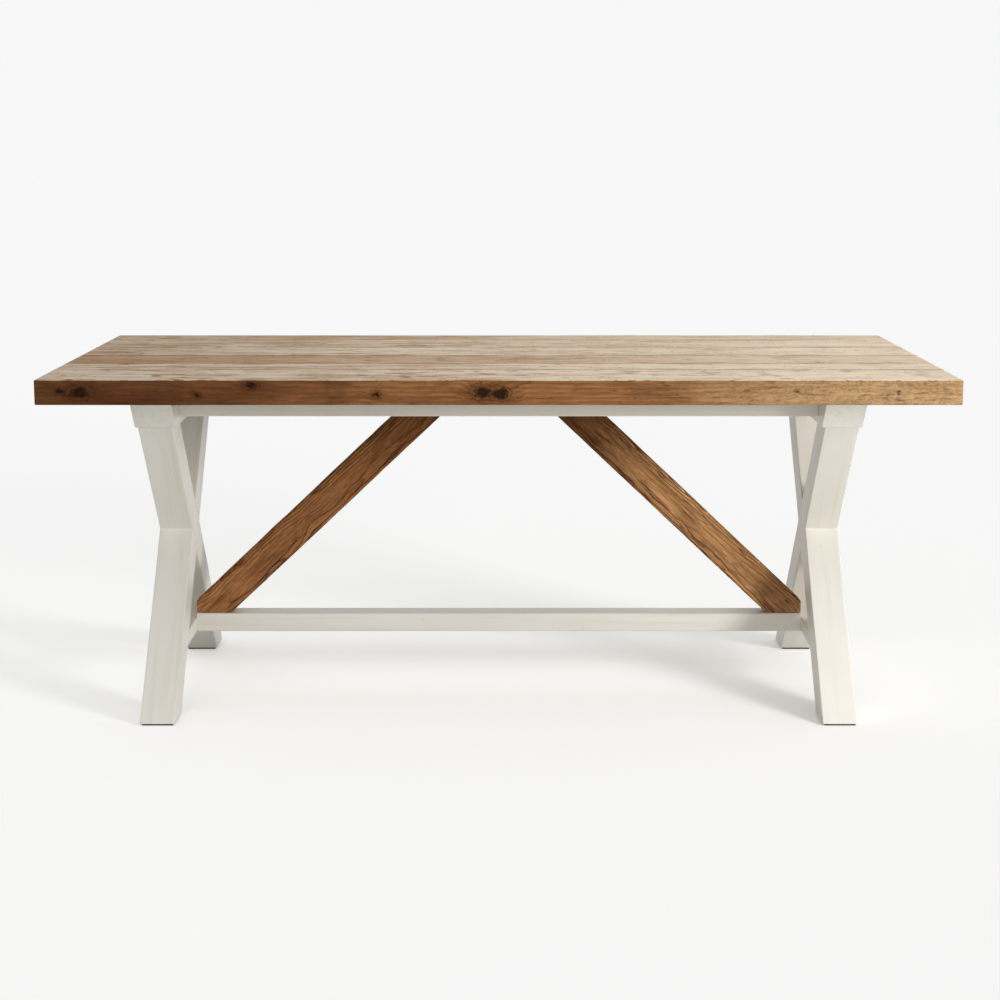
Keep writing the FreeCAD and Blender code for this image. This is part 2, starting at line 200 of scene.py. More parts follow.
# Each brace's pith, across and behind its middle, its tint, and how dark its head, middle and foot are; the
# dark head is painted shade under the table top.
BRACE_WOODS = (
    ((0.006, 0.030), (0.80, 0.71, 0.65), (0.58, 0.16, 0.0)),
    ((-0.005, 0.028), (1.13, 1.17, 1.21), (0.82, 0.0, 0.24)),
)

# Half the floor's width, and the faces along it.
FLOOR_HALF = 60.0
FLOOR_CELLS = 8
# Most of the light on it that the floor shows, which sets how deep its shadows are.
FLOOR_CATCH = 1.08
# How much of the sky that the table top hides is made up on the floor.
SKY_MADE_UP = 0.66
# Share of the overhead light that a level face gets from an open sky.
OVERHEAD_SHARE = 2 / 3
# Where each lamp stands, what it points at, and the width and height of its screen.
LAMPS = {
    "key": ((2.9, -2.5, 1.35), (0.1, 0.0, 0.4), (0.9, 0.9)),
    "front": ((-0.8, -5.2, 1.0), (0.0, 0.0, 0.35), (2.4, 1.4)),
}
# The camera's sensor in millimetres, and how far it sees.
SENSOR_WIDTH = 36.0
SIGHT = 500.0


def on_screen(red, green, blue):
    """A colour given as it looks on screen, 0 to 255, as the shader's own values by the sRGB curve."""
    values = [channel / 255 for channel in (red, green, blue)]
    return tuple(v / 12.92 if v <= 0.04045 else ((v + 0.055) / 1.055) ** 2.4 for v in values)


def number(label, words, default, **options):
    """A number that a user can set."""
    return FloatProperty(name=label, description=words, default=default, **options)


def length(label, words, default):
    return number(label, words, default, min=0.0, precision=4, unit="LENGTH")


def place(label, words, default):
    return number(label, words, default, precision=4, unit="LENGTH")


def colour(label, words, *seen):
    return FloatVectorProperty(
        name=label, description=words, default=on_screen(*seen), size=3, min=0.0, max=1.0, subtype="COLOR"
    )


class TopLook(bpy.types.PropertyGroup):
    """Sizes and colours of the scrubbed oak top."""

    # The upper face's colours are partly a painted sheen: whiter than the wood alone, for the bright
    # surroundings that the face would reflect.
    pale: colour("Scrubbed face", "Pale wood of the upper face", 248, 231, 205)
    weathered: colour("Weathered face", "Greyer patches of the upper face", 238, 223, 203)
    streak: colour("Streaks", "Browner streaks in the upper face", 188, 145, 102)
    mark: colour("Marks", "Short curved marks, pits and the dirt of the joints", 132, 84, 45)
    edge_light: colour("Edge, light", "Light wood of the edges", 182, 147, 106)
    edge_mid: colour("Edge", "Wood of the edges and the underside", 152, 105, 65)
    edge_dark: colour("Edge, dark", "Dark wood and darker growth of the edges", 84, 48, 25)
    check: colour("Checks", "Cracks and the hearts of knots", 34, 19, 11)
    arris: length("Arris", "Rounding of the outer edges", 0.0022)
    joint: length("Joint bevel", "Bevel of the edges where two boards meet", 0.0011)
    edge_wear: length("Edge wear", "How much more the worn stretches of an edge are rounded", 0.0016)
    scrub_depth: length("Scrub depth", "How far the faces dip between the hard grain", 0.0005)
    ring_spacing: length("Growth rings", "Distance from one growth ring to the next", 0.0075)


class PaintLook(bpy.types.PropertyGroup):
    """Sizes and colours of the cream frame."""

    cream: colour("Cream", "Paint of the legs, bearers, aprons and rails", 236, 234, 226)
    shade: colour("Cream, aged", "Paint where it has yellowed or is thin", 217, 209, 192)
    rubbed: colour("Rubbed edge", "Wood that shows where an edge is rubbed", 168, 138, 102)
    arris: length("Arris", "Rounding of the painted edges", 0.0025)


class BraceLook(bpy.types.PropertyGroup):
    """Sizes and colours of the bare braces."""

    light: colour("Light grain", "Light wood of the braces", 206, 152, 100)
    dark: colour("Dark grain", "Dark growth of the braces", 82, 44, 20)
    arris: length("Arris", "Rounding of the braces' edges", 0.0022)
    edge_wear: length("Edge wear", "How much more the hewn stretches of an edge are rounded", 0.006)
    hewn_depth: length("Hewn depth", "How far the hewn faces dip", 0.0012)
    ring_spacing: length("Growth rings", "Distance from one growth ring to the next", 0.0034)


class FittingLook(bpy.types.PropertyGroup):
    """Colours of the glides, the fixings and the hidden wood."""

    rubber: colour("Rubber", "Rubber of the glides", 34, 32, 30)
    dust: colour("Dust", "Dust on the glides", 66, 62, 58)
    zinc: colour("Zinc", "Plating of the screws, bolts and nuts", 176, 178, 180)
    bright_zinc: colour("Bright zinc", "Brighter patches of the plating", 206, 206, 202)
    beech: colour("Beech", "Wood of the tongues and dowels", 214, 178, 134)
    dark_beech: colour("Dark beech", "Darker lines of that wood", 176, 132, 88)


class StageLook(bpy.types.PropertyGroup):
    """Camera, lamps and floor."""

    camera_side: place("Camera X", "Camera's place across the room", 0.0028)
    camera_back: place("Camera Y", "Camera's place in front of the table", -4.587)
    camera_height: place("Camera Z", "Camera's height over the floor", 1.249)
    camera_tilt: number("Tilt", "How far the camera looks down", math.radians(10.172), unit="ROTATION")
    lens: number("Lens", "Focal length on the camera's sensor", 72.89, unit="CAMERA")
    fill: number("Fill", "Light that comes from all round", 0.40, min=0.0)
    overhead: number("Overhead", "How much brighter the light is from straight above", 0.44, min=0.0)
    key: number("Key", "Power of the soft lamp in front on the right", 80.0, min=0.0, unit="POWER")
    front: number("Front", "Power of the wide low lamp in front", 12.0, min=0.0, unit="POWER")
    floor: colour("Floor", "Floor as it lights the table", 215, 214, 210)
    backdrop: colour("Backdrop", "Background behind the table", 247, 248, 247)


def formula(operation, swapped=False):
    """A method that works out a value, or a value and another, by that shader operation."""

    def work_out(value, other=0.0):
        first, second = (other, value) if swapped else (value, other)
        return value.sheet.put("Math", {0: first, 1: second}, operation=operation)

    return work_out


class Value:
    """A number, place, colour or shader that a sheet works out, ready for formulas."""

    __add__ = __radd__ = formula("ADD")
    __sub__ = formula("SUBTRACT")
    __rsub__ = formula("SUBTRACT", swapped=True)
    __mul__ = formula("MULTIPLY")
    __truediv__ = formula("DIVIDE")
    __rtruediv__ = formula("DIVIDE", swapped=True)
    __pow__ = formula("POWER")
    __abs__ = formula("ABSOLUTE")
    fraction = formula("FRACT")
    larger = formula("MAXIMUM")
    smaller = formula("MINIMUM")
    root = formula("SQRT")
    angle = formula("ARCTANGENT")

    def __init__(self, sheet, socket):
        self.sheet = sheet
        self.socket = socket

    def side(self, axis):
        """A place's value along one axis."""
        return self.sheet.put("SeparateXYZ", {0: self}, axis)

    def length(self):
        return self.sheet.vector("LENGTH", self, output="Value")

    def step(self, low, high, start=0.0, end=1.0):
        """A smooth rise from start to end, as this value goes from low to high."""
        inputs = {"Value": self, "From Min": low, "From Max": high, "To Min": start, "To Max": end}
        return self.sheet.put("MapRange", inputs, interpolation_type="SMOOTHSTEP")


class Sheet:
    """The shader nodes of a material or a world. Its noise is taken at the places that grain gives."""

    def __init__(self, owner):
        owner.use_nodes = True
        self.owner = owner
        self.tree = owner.node_tree
        self.tree.nodes.clear()
        self.grain = None

    def put(self, kind, inputs=None, output=0, **settings):
        """Adds a node, links those of its inputs that are worked out, and gives one of its outputs."""
        node = self.tree.nodes.new(f"ShaderNode{kind}")
        for key, setting in settings.items():
            setattr(node, key, setting)
        for key, given in (inputs or {}).items():
            if isinstance(given, Value):
                self.tree.links.new(given.socket, node.inputs[key])
            else:
                node.inputs[key].default_value = given
        return Value(self, node.outputs[output]) if node.outputs else None

    def attribute(self, name, output="Fac"):
        return self.put("Attribute", output=output, attribute_name=name)

    def position(self):
        """Each point's place in the room."""
        return self.put("NewGeometry", output="Position")

    def vector(self, operation, first, second=(0.0, 0.0, 0.0), output="Vector"):
        return self.put("VectorMath", {0: first, 1: second}, output, operation=operation)

    def noise(self, along, across, detail=2.0, rough=0.5, warp=0.0, output="Fac"):
        """Cloudy noise, with so many turns to the metre along and across the grain."""
        scaled = self.vector("MULTIPLY", self.grain, (along, across, across))
        inputs = {"Vector": scaled, "Scale": 1.0, "Detail": detail, "Roughness": rough, "Distortion": warp}
        return self.put("TexNoise", inputs, output)

    def shaken(self, sizes, along, across, **options):
        """The grain's places, each moved by cloudy noise within a box of those sizes."""
        cloud = self.noise(along, across, output="Color", **options)
        away = self.vector("MULTIPLY", self.vector("SUBTRACT", cloud, MIDDLE), sizes)
        return self.vector("ADD", self.grain, away)

    def blend(self, amount, first, second, mode="MIX"):
        """The first colour, turned into the second by that amount."""
        colours = [c if isinstance(c, Value) else (*c, 1.0) for c in (first, second)]
        inputs = {0: amount, 6: colours[0], 7: colours[1]}
        return self.put("Mix", inputs, 2, data_type="RGBA", blend_type=mode)

    def stain(self, base, stain, *amounts):
        """The base colour, with the stain laid over it by each amount in turn."""
        for amount in amounts:
            base = self.blend(amount, base, stain)
        return base

    def grey(self, value):
        return self.put("CombineColor", {"Red": value, "Green": value, "Blue": value})

    def toned(self, base, value, amount=1.0):
        """The base colour times a value, by that amount."""
        return self.blend(amount, base, self.grey(value), "MULTIPLY")

    def finish(self, base, roughness, height, depth, shine=COMMON_SHINE, metallic=0.0):
        """Joins colour, roughness and relief to the surface, and sets its shine."""
        bump = self.put("Bump", {"Strength": 1.0, "Distance": depth, "Height": height})
        inputs = {"Base Color": base, "Roughness": roughness, "Normal": bump}
        inputs |= {"Specular IOR Level": shine, "Metallic": metallic}
        self.put("OutputMaterial", {"Surface": self.put("BsdfPrincipled", inputs)})
        return self.owner


def wood_sheet(name):
    """A sheet for a new material whose noise follows the grain of each piece."""
    sheet = Sheet(bpy.data.materials.new(name))
    sheet.grain = sheet.attribute("grain", "Vector")
    return sheet


def growth_rings(sheet, pith, spacing, lean, sway, push=0.0, turns=1.3, late=0.25):
    """Growth rings round a pith: 0 in the pale early growth, 1 in the dark line that ends a year."""
    swayed = sheet.shaken((0.0, sway, sway), turns, 8.0, detail=3.0)
    from_pith = sheet.vector("SUBTRACT", swayed, (0.0, *pith))
    radius = sheet.vector("MULTIPLY", from_pith, (0.0, 1.0, 1.0)).length()
    leaning = radius + sheet.grain.side(0) * lean + push
    year = (leaning / spacing + sheet.noise(0.7, 26.0, detail=1.0) * 1.4).fraction()
    return year.step(late, 0.88) * year.step(0.90, 1.0, 1.0, 0.0)


def checks(sheet, along, across, sparse, width):
    """Fine cracks along the grain: 1 inside a crack."""
    line = abs(sheet.noise(along, across, detail=3.0) - 0.5)
    patches = sheet.noise(along * 1.6, across * 0.35).step(sparse, sparse + 0.09)
    return line.step(0.0, width, 1.0, 0.0) * patches


def knots(sheet, spots):
    """Hearts, rings and halos of knots, each spot with its place and its half sizes on the grain's sides."""
    uneven = sheet.shaken(KNOT_RAGGED, 75.0, 110.0, detail=4.0, rough=0.65)
    heart, swirl, halo = 0.0, 0.0, 0.0
    for middle, half_sizes in spots:
        distance = sheet.vector("DIVIDE", sheet.vector("SUBTRACT", uneven, middle), half_sizes).length()
        heart = distance.step(0.55, 0.90, 1.0, 0.0).larger(heart)
        lines = (distance * 2.1).fraction().step(0.40, 0.70)
        swirl = (lines * distance.step(0.9, 1.9, 1.0, 0.0)).larger(swirl)
        halo = distance.step(0.6, 3.1, 1.0, 0.0).larger(halo)
    return heart, swirl, halo


def scrubbed_face(sheet, look, ring, warmth, marked, seam):
    """Colour of a board's upper face: pale, partly as a painted sheen, with short brown streaks, curved
    marks, pits and dirty joints, and painted light that darkens it towards the left end and lightens it
    towards the right.
    """
    wide = sheet.noise(2.6, 13.0, detail=3.0, rough=0.6, warp=1.0)
    weather = sheet.noise(4.6, 21.0, detail=4.0, rough=0.6, warp=1.2)
    streaks = sheet.noise(7.5, 30.0, detail=5.0, rough=0.66, warp=1.4)
    marks = checks(sheet, 8.0, 27.0, 0.54, 0.07)
    pits = sheet.noise(110.0, 64.0).step(0.62, 0.70)
    along = sheet.position().side(0)

    # Browner towards the left end: partly the wood's streaks and partly painted shade, as that end lies
    # further from the lamp.
    brown = along.step(*STREAK_FADE, 1.55, 0.40)
    patches = wide.step(0.44, 0.66, 0.0, 0.50) * brown
    lines = streaks.step(0.53, 0.66, 0.0, 0.85) * brown
    face = sheet.blend(weather.step(0.42, 0.64, 0.0, 0.8), look.pale, look.weathered)
    face = sheet.stain(face, look.streak, patches, brown * warmth, lines, ring * 0.12)

    drawn = marks * along.step(*STREAK_FADE, 1.2 * marked, 0.5 * marked)
    pitted = pits * wide.step(0.42, 0.60, 0.10, 0.55)
    dirt = seam * streaks.step(0.40, 0.62, 0.04, 0.70)
    face = sheet.stain(face, look.mark, drawn, pitted, dirt)
    # Painted light: the upper face darkens towards the left end and lightens towards the right, as the lamp
    # on the right would light it.
    return sheet.toned(face, along.step(*FACE_LIGHT_FADE, 0.75, 1.07))


def sawn_edge(sheet, look, ring, tones):
    """Colour of a board's edges: brown and smudged at one end, lighter and curly at the other, the dark end
    and the light end partly painted shade and light of the lamp on the right.
    """
    drift = sheet.noise(1.6, 12.0)
    figure = sheet.noise(11.0, 58.0, detail=5.0, rough=0.68, warp=1.2)
    curls = sheet.noise(40.0, 64.0, detail=4.0, rough=0.70, warp=2.8)
    flecks = sheet.noise(42.0, 150.0, detail=4.0, rough=0.65).step(0.56, 0.68)
    smudges = sheet.noise(4.0, 22.0, detail=4.0, rough=0.62, warp=0.6).step(0.54, 0.72)

    # Partly the edges' own tone and partly painted light: dark towards the left end, light towards the right.
    edge_tone_and_light = sheet.grain.side(0).step(*EDGE_TONE_AND_LIGHT_FADE, *tones) + drift.step(0.3, 0.7, -0.10, 0.10)
    curly = edge_tone_and_light.step(0.45, 0.95)
    side = sheet.blend(edge_tone_and_light.step(0.0, 0.5), look.edge_dark, look.edge_mid)
    side = sheet.blend(edge_tone_and_light.step(0.5, 1.0), side, look.edge_light)
    side = sheet.toned(side, figure.step(0.28, 0.72, 1.22, 0.72), curly.step(0.0, 1.0, 1.0, 0.55))
    side = sheet.toned(side, curls.step(0.34, 0.66, 0.72, 1.12), curly)

    smudged = smudges * curly.step(0.0, 1.0, 0.6, 0.1)
    ringed = ring * curly.step(0.0, 1.0, 0.30, 0.10)
    side = sheet.stain(side, look.edge_dark, smudged, ringed, flecks * 0.50)
    return side, figure, flecks


def oak(name, look, pith, warmth, marked, tones, spots):
    """Scrubbed oak: pale on the worn upper face, brown on the edges, with rings, checks and knots."""
    sheet = wood_sheet(name)
    worn, seam, scrubbed = [sheet.attribute(label) for label in ("wear", "seam", "scrubbed")]
    heart, swirl, halo = knots(sheet, spots)
    ring = growth_rings(sheet, pith, look.ring_spacing, BOARD_LEAN, BOARD_SWAY, halo * KNOT_PUSH)
    fibre = sheet.noise(14.0, 420.0, detail=3.0, rough=0.6)
    pores = sheet.noise(16.0, 640.0, detail=1.0).step(0.60, 0.72)
    chipped = sheet.noise(55.0, 40.0, detail=3.0, rough=0.6).step(0.54, 0.66)
    crack = checks(sheet, 2.4, 34.0, 0.57, 0.012)
    side, figure, flecks = sawn_edge(sheet, look, ring, tones)
    face = scrubbed_face(sheet, look, ring, warmth, marked, seam)

    wood = sheet.toned(sheet.blend(scrubbed, side, face), fibre.step(0.25, 0.75, 0.84, 1.10))
    open_pores = pores * scrubbed.step(0.0, 1.0, 0.30, 0.14)
    split = crack * scrubbed.step(0.0, 1.0, 0.25, 0.38)
    wood = sheet.stain(wood, look.edge_dark, open_pores, halo * 0.55)
    wood = sheet.stain(wood, look.check, swirl * 0.62, heart * 0.92, split)
    wood = sheet.stain(wood, look.edge_dark, worn * chipped * 0.75)

    relief = fibre * 0.35 - ring * 0.3 - pores * 0.3 - flecks * 0.6 - figure * 0.6
    relief = relief - split * 2.4 - heart * 0.9
    dull = fibre.step(0.2, 0.8, 0.72, 0.88) - scrubbed * 0.12
    return sheet.finish(wood, dull, relief, OAK_RELIEF, WOOD_SHINE)


def brace_wood(name, look, pith, tint, tones):
    """Bare hewn wood: smooth brown with fine wavy lines towards the edges, and a tone for each stretch, the
    darker head being painted shade under the table top.
    """
    sheet = wood_sheet(name)
    worn, rim = [sheet.attribute(label) for label in ("wear", "rim")]
    ring = growth_rings(sheet, pith, look.ring_spacing, BRACE_LEAN, BRACE_SWAY, turns=6.0, late=0.60)
    wide = sheet.noise(3.0, 17.0, detail=4.0, rough=0.6, warp=0.6)
    lines = sheet.noise(7.0, 150.0, detail=4.0, rough=0.68, warp=0.8)
    fibre = sheet.noise(40.0, 240.0, detail=4.0, rough=0.70)
    tears = checks(sheet, 8.0, 110.0, 0.45, 0.045)
    crack = checks(sheet, 3.2, 40.0, 0.57, 0.014)
    chips = worn * sheet.noise(48.0, 40.0, detail=3.0, rough=0.62).step(0.46, 0.60)

    out = abs(sheet.position().side(0))
    head, body, foot = tones
    # Painted shade: the head, under the table top, is darkened.
    tone = out.step(*SHADED_HEAD_FADE, head - body, 0.0) + out.step(*FOOT_FADE, body, foot)
    wood = sheet.blend(tone, [light * share for light, share in zip(look.light, tint)], look.dark)
    wood = sheet.stain(wood, look.dark, wide.step(0.34, 0.70, 0.0, 0.42), lines.step(0.50, 0.64, 0.0, 0.36))
    wood = sheet.toned(wood, fibre.step(0.28, 0.72, 0.72, 1.20))
    drawn = rim.step(0.0, 0.9, 0.22, 1.0)
    wood = sheet.stain(wood, look.dark, ring * drawn, tears * (drawn * 0.9))
    wood = sheet.stain(wood, CRACK_BLACK, crack * 0.75)
    wood = sheet.stain(wood, look.dark, chips * 0.80)

    relief = fibre * 0.4 - ring * 0.5 - lines * 0.6 - tears * 0.9 - crack * 1.8 - chips * 0.8
    return sheet.finish(wood, fibre.step(0.2, 0.8, 0.66, 0.84), relief, BRACE_RELIEF, WOOD_SHINE)


def cream_paint(name, look):
    """Eggshell paint brushed along the wood, with the grain faint beneath and the edges a little rubbed."""
    sheet = wood_sheet(name)
    clouds = sheet.noise(2.2, 7.0, detail=3.0)
    brush = sheet.noise(6.0, 260.0, detail=3.0, rough=0.55)
    lines = sheet.noise(2.2, 70.0, detail=3.0, rough=0.6, warp=0.4)
    specks = sheet.noise(60.0, 120.0).step(0.72, 0.80)
    aged = clouds.step(0.3, 0.75, 0.0, 0.40)
    coat = sheet.stain(look.cream, look.shade, aged, lines.step(0.50, 0.72, 0.0, 0.40))
    thin = sheet.attribute("wear") * lines.step(0.50, 0.74, 0.0, 0.22)
    coat = sheet.stain(coat, look.rubbed, specks * 0.18, thin)
    relief = brush * 0.35 + lines * 0.5 - specks * 0.4
    return sheet.finish(coat, brush.step(0.25, 0.75, 0.34, 0.46), relief, PAINT_RELIEF)


def plain_finish(name, turns, colours, roughness, relief, metallic=0.0):
    """A plain finish: noise of so many turns along and across mixes its colours, roughness and relief."""
    sheet = Sheet(bpy.data.materials.new(name))
    sheet.grain = sheet.put("TexCoord", output="Object")
    cloud = sheet.noise(*turns, detail=3.0)
    dull = cloud.step(0.2, 0.8, *roughness)
    return sheet.finish(sheet.blend(cloud, *colours), dull, cloud, relief, metallic=metallic)


def inner_wood(name, look):
    """Plain beech of the tongues and dowels, which the boards and timbers hide."""
    return plain_finish(name, (6.0, 160.0), (look.beech, look.dark_beech), (0.6, 0.75), BEECH_RELIEF)


def steel(name, look):
    """Bright zinc-plated steel of screws, bolts and nuts."""
    colours = (look.zinc, look.bright_zinc)
    return plain_finish(name, (240.0, 240.0), colours, (0.24, 0.42), PLATING_RELIEF, metallic=1.0)


def glide_rubber(name, look):
    """Dark, dusty rubber of the glides."""
    return plain_finish(name, (420.0, 420.0), (look.rubber, look.dust), (0.7, 0.9), RUBBER_RELIEF)


def corners(node):
    """Every corner of a node's solid, in metres."""
    return np.array([corner.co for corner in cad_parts[node].data.vertices])


def span(points, axis, other, level):
    """Lowest and highest place, along one axis, of the corners that lie at a level of another axis."""
    found = points[np.abs(points[:, other] - level) < NEAR][:, axis]
    return found.min(), found.max()


def grid_lines(total, radius, spacing):
    """Where the grid lines of a block's side stand: close over the arrises, even between them."""
    over = np.array(ARRIS_SHARES) * radius
    count = max(2, round((total - 2 * over[-1]) / spacing) + 1)
    inner = np.linspace(over[-1], total - over[-1], count)
    return np.concatenate([over[:-1], inner, (total - over[:-1])[::-1]])


def block_surface(lines):
    """Points and quads of a closed box that has these grid lines on its three sides."""
    counts = [len(side) for side in lines]
    numbers, points, quads = {}, [], []

    def point_at(spot):
        """Number of the point at that spot of the grid, which is made once."""
        if spot not in numbers:
            numbers[spot] = len(points)
            points.append([lines[axis][spot[axis]] for axis in range(3)])
        return numbers[spot]

    for axis in range(3):
        across, up = (axis + 1) % 3, (axis + 2) % 3
        for end in (0, counts[axis] - 1):
            turn = 1 if end else -1
            for i in range(counts[across] - 1):
                for j in range(counts[up] - 1):
                    quad = []
                    for di, dj in ((0, 0), (1, 0), (1, 1), (0, 1))[::turn]:
                        spot = [end, end, end]
                        spot[across], spot[up] = i + di, j + dj
                        quad.append(point_at(tuple(spot)))
                    quads.append(quad)
    return np.array(points), quads


def block(size, radius, spacing):
    """Points and quads of a block whose grid suits arrises of that radius."""
    return block_surface([grid_lines(side, radius, spacing) for side in size])


def rounded(points, size, radii):
    """The box's points with its edges rounded, and the way out of the surface at each point.

    radii has one radius to a point, or one for each of the block's three sides."""
    reach = np.broadcast_to(np.reshape(radii, (len(points), -1)), points.shape)
    core = np.clip(points, reach, size - reach)
    out = (points - core) / reach
    out /= np.linalg.norm(out, axis=1)[:, None]
    return core + out * reach, out


def edge_wear(points, size, band=WEAR_BAND):
    """1 on a block's long edges, fading to 0 at the band's width."""
    depth = np.sort(np.minimum(points, size - points)[:, 1:], axis=1)
    return np.clip(1 - depth[:, 1] / band, 0, 1)


def wander(points, turns, start=0.0):
    """Smooth noise from 0 to 1 at each point, with so many turns to the metre along each side."""
    spots = points * np.array(turns) + start
    return np.array([0.5 + 0.5 * noise.noise(Vector(spot)) for spot in spots])


def new_mesh(name, points, faces, **per_point):
    """A mesh of those points and faces, turned outwards, with a value per point for each name."""
    mesh = bpy.data.meshes.new(name)
    mesh.from_pydata([tuple(p) for p in points], [], faces)
    for label, values in per_point.items():
        attribute = mesh.attributes.new(label, "FLOAT", "POINT")
        attribute.data.foreach_set("value", np.asarray(values, np.float32))
    work = bmesh.new()
    work.from_mesh(mesh)
    bmesh.ops.recalc_face_normals(work, faces=work.faces)
    work.to_mesh(mesh)
    work.free()
    return mesh


def box_mesh(name, low, high):
    """A plain box between two corners."""
    return new_mesh(name, *block_surface([np.array(ends) for ends in zip(low, high)]))


def show(name, data):
    """Puts a mesh, a lamp or a camera into the scene."""
    thing = bpy.data.objects.new(name, data)
    bpy.context.scene.collection.objects.link(thing)
    return thing


def carve(mesh, cutters):
    """The mesh with those cutters taken away."""
    body = show("carved", mesh)
    tools = [show("cutter", cutter) for cutter in cutters]
    for tool in tools:
        cut = body.modifiers.new("cut", "BOOLEAN")
        cut.operation, cut.solver, cut.object = "DIFFERENCE", "EXACT", tool
    ready = body.evaluated_get(bpy.context.evaluated_depsgraph_get())
    carved = bpy.data.meshes.new_from_object(ready)
    for thing in (body, *tools):
        bpy.data.objects.remove(thing)
    return carved


def put_piece(node, kind, mesh, material, axes=np.eye(3), shift=(0.0, 0.0, 0.0)):
    """Shows the mesh as the piece that stands for a node.

    axes gives the grain's sides as rows, and shift where its noise starts."""
    points = np.array([vertex.co for vertex in mesh.vertices])
    grain = points @ np.array(axes).T + np.array(shift)
    attribute = mesh.attributes.new("grain", "FLOAT_VECTOR", "POINT")
    attribute.data.foreach_set("vector", grain.astype(np.float32).ravel())
    mesh.materials.append(material)
    mesh.shade_smooth()
    mesh.set_sharp_from_angle(angle=SMOOTH_ANGLE)
    piece = show(f"{node}_{kind}", mesh)
    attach(piece, "root")
    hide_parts(node)


def islands(node):
    """Corners of each separate solid in a node."""
    work = bmesh.new()
    work.from_mesh(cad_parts[node].data)
    bmesh.ops.remove_doubles(work, verts=work.verts, dist=SAME_CORNER)
    left = set(work.verts)
    found = []
    while left:
        reached, waiting = set(), [next(iter(left))]
        while waiting:
            corner = waiting.pop()
            if corner not in reached:
                reached.add(corner)
                waiting += [edge.other_vert(corner) for edge in corner.link_edges]
        left -= reached
        found.append(np.array([corner.co for corner in reached]))
    work.free()
    return sorted(found, key=lambda points: tuple(points.mean(axis=0).round(4)))


class Fixing:
    """A screw or bolt read from its solid: its axis, which way it points, its levels and its radii."""

    def __init__(self, points):
        self.axis = int(np.ptp(points, axis=0).argmax())
        self.middle = (points.min(axis=0) + points.max(axis=0)) / 2
        along = points[:, self.axis]
        from_axis = np.delete(points - self.middle, self.axis, axis=1)
        radii = np.linalg.norm(from_axis, axis=1)
        self.head_radius, self.shank_radius = radii.max(), radii.min()
        head = along[radii > HEAD_SHARE * self.head_radius]
        self.way = 1 if head.mean() < self.middle[self.axis] else -1
        self.head_end, self.seat = (head.min(), head.max())[:: self.way]
        self.tip = (along.max(), along.min())[:: self.way][0]

    def ring(self, radius, level, hexagon=False):
        """A ring of points round the axis at that level; a hexagon keeps the same count of points."""
        made = []
        for step in range(TURNED_SIDES):
            turn = 2 * math.pi * step / TURNED_SIDES
            reach = radius
            if hexagon:
                flat = math.pi / HEX_SIDES
                reach = radius * math.cos(flat) / math.cos((turn % (2 * flat)) - flat)
            point = np.array(self.middle)
            point[self.axis] = level
            point[(self.axis + 1) % 3] += reach * math.cos(turn)
            point[(self.axis + 2) % 3] += reach * math.sin(turn)
            made.append(point)
        return made


def lathe(rings):
    """Points and faces of a closed body through those rings of points."""
    sides = len(rings[0])
    points = [point for ring in rings for point in ring]
    faces = []
    for level in range(len(rings) - 1):
        for step in range(sides):
            low, high = level * sides, (level + 1) * sides
            nearby = (step + 1) % sides
            faces.append([low + step, low + nearby, high + nearby, high + step])
    faces.append(list(range(sides)))
    faces.append(list(range(len(points) - sides, len(points))))
    return points, faces


def fixing_body(fixing):
    """A head with a chamfered rim and a hex socket, and its shank down to a tapered tip."""
    rim, shank, face, seat = fixing.head_radius, fixing.shank_radius, fixing.head_end, fixing.seat
    chamfer, socket = rim * CHAMFER_SHARE, rim * SOCKET_SHARE
    floor = face + (seat - face) * SOCKET_DEPTH_SHARE
    return lathe([
        fixing.ring(socket * TIP_SHARE, floor),
        fixing.ring(socket, floor, hexagon=True),
        fixing.ring(socket, face, hexagon=True),
        fixing.ring(rim - chamfer, face),
        fixing.ring(rim, face + fixing.way * chamfer),
        fixing.ring(rim, seat),
        fixing.ring(shank, seat),
        fixing.ring(shank, fixing.tip - fixing.way * shank),
        fixing.ring(shank * TIP_SHARE, fixing.tip),
    ])


def sunk_holes(low, high, nodes):
    """Cutters for the sunk heads of those nodes' fixings that sit within a timber's box."""
    cutters = []
    for fixing in [Fixing(solid) for node in nodes for solid in islands(node)]:
        seat = np.array(fixing.middle)
        seat[fixing.axis] = fixing.seat
        if np.all(seat > np.array(low) - NEAR) and np.all(seat < np.array(high) + NEAR):
            radius = fixing.head_radius + HOLE_CLEARANCE
            outside = fixing.head_end - fixing.way * HOLE_REACH
            rings = [fixing.ring(radius, level) for level in (fixing.seat, outside)]
            cutters.append(new_mesh("hole", *lathe(rings)))
    return cutters


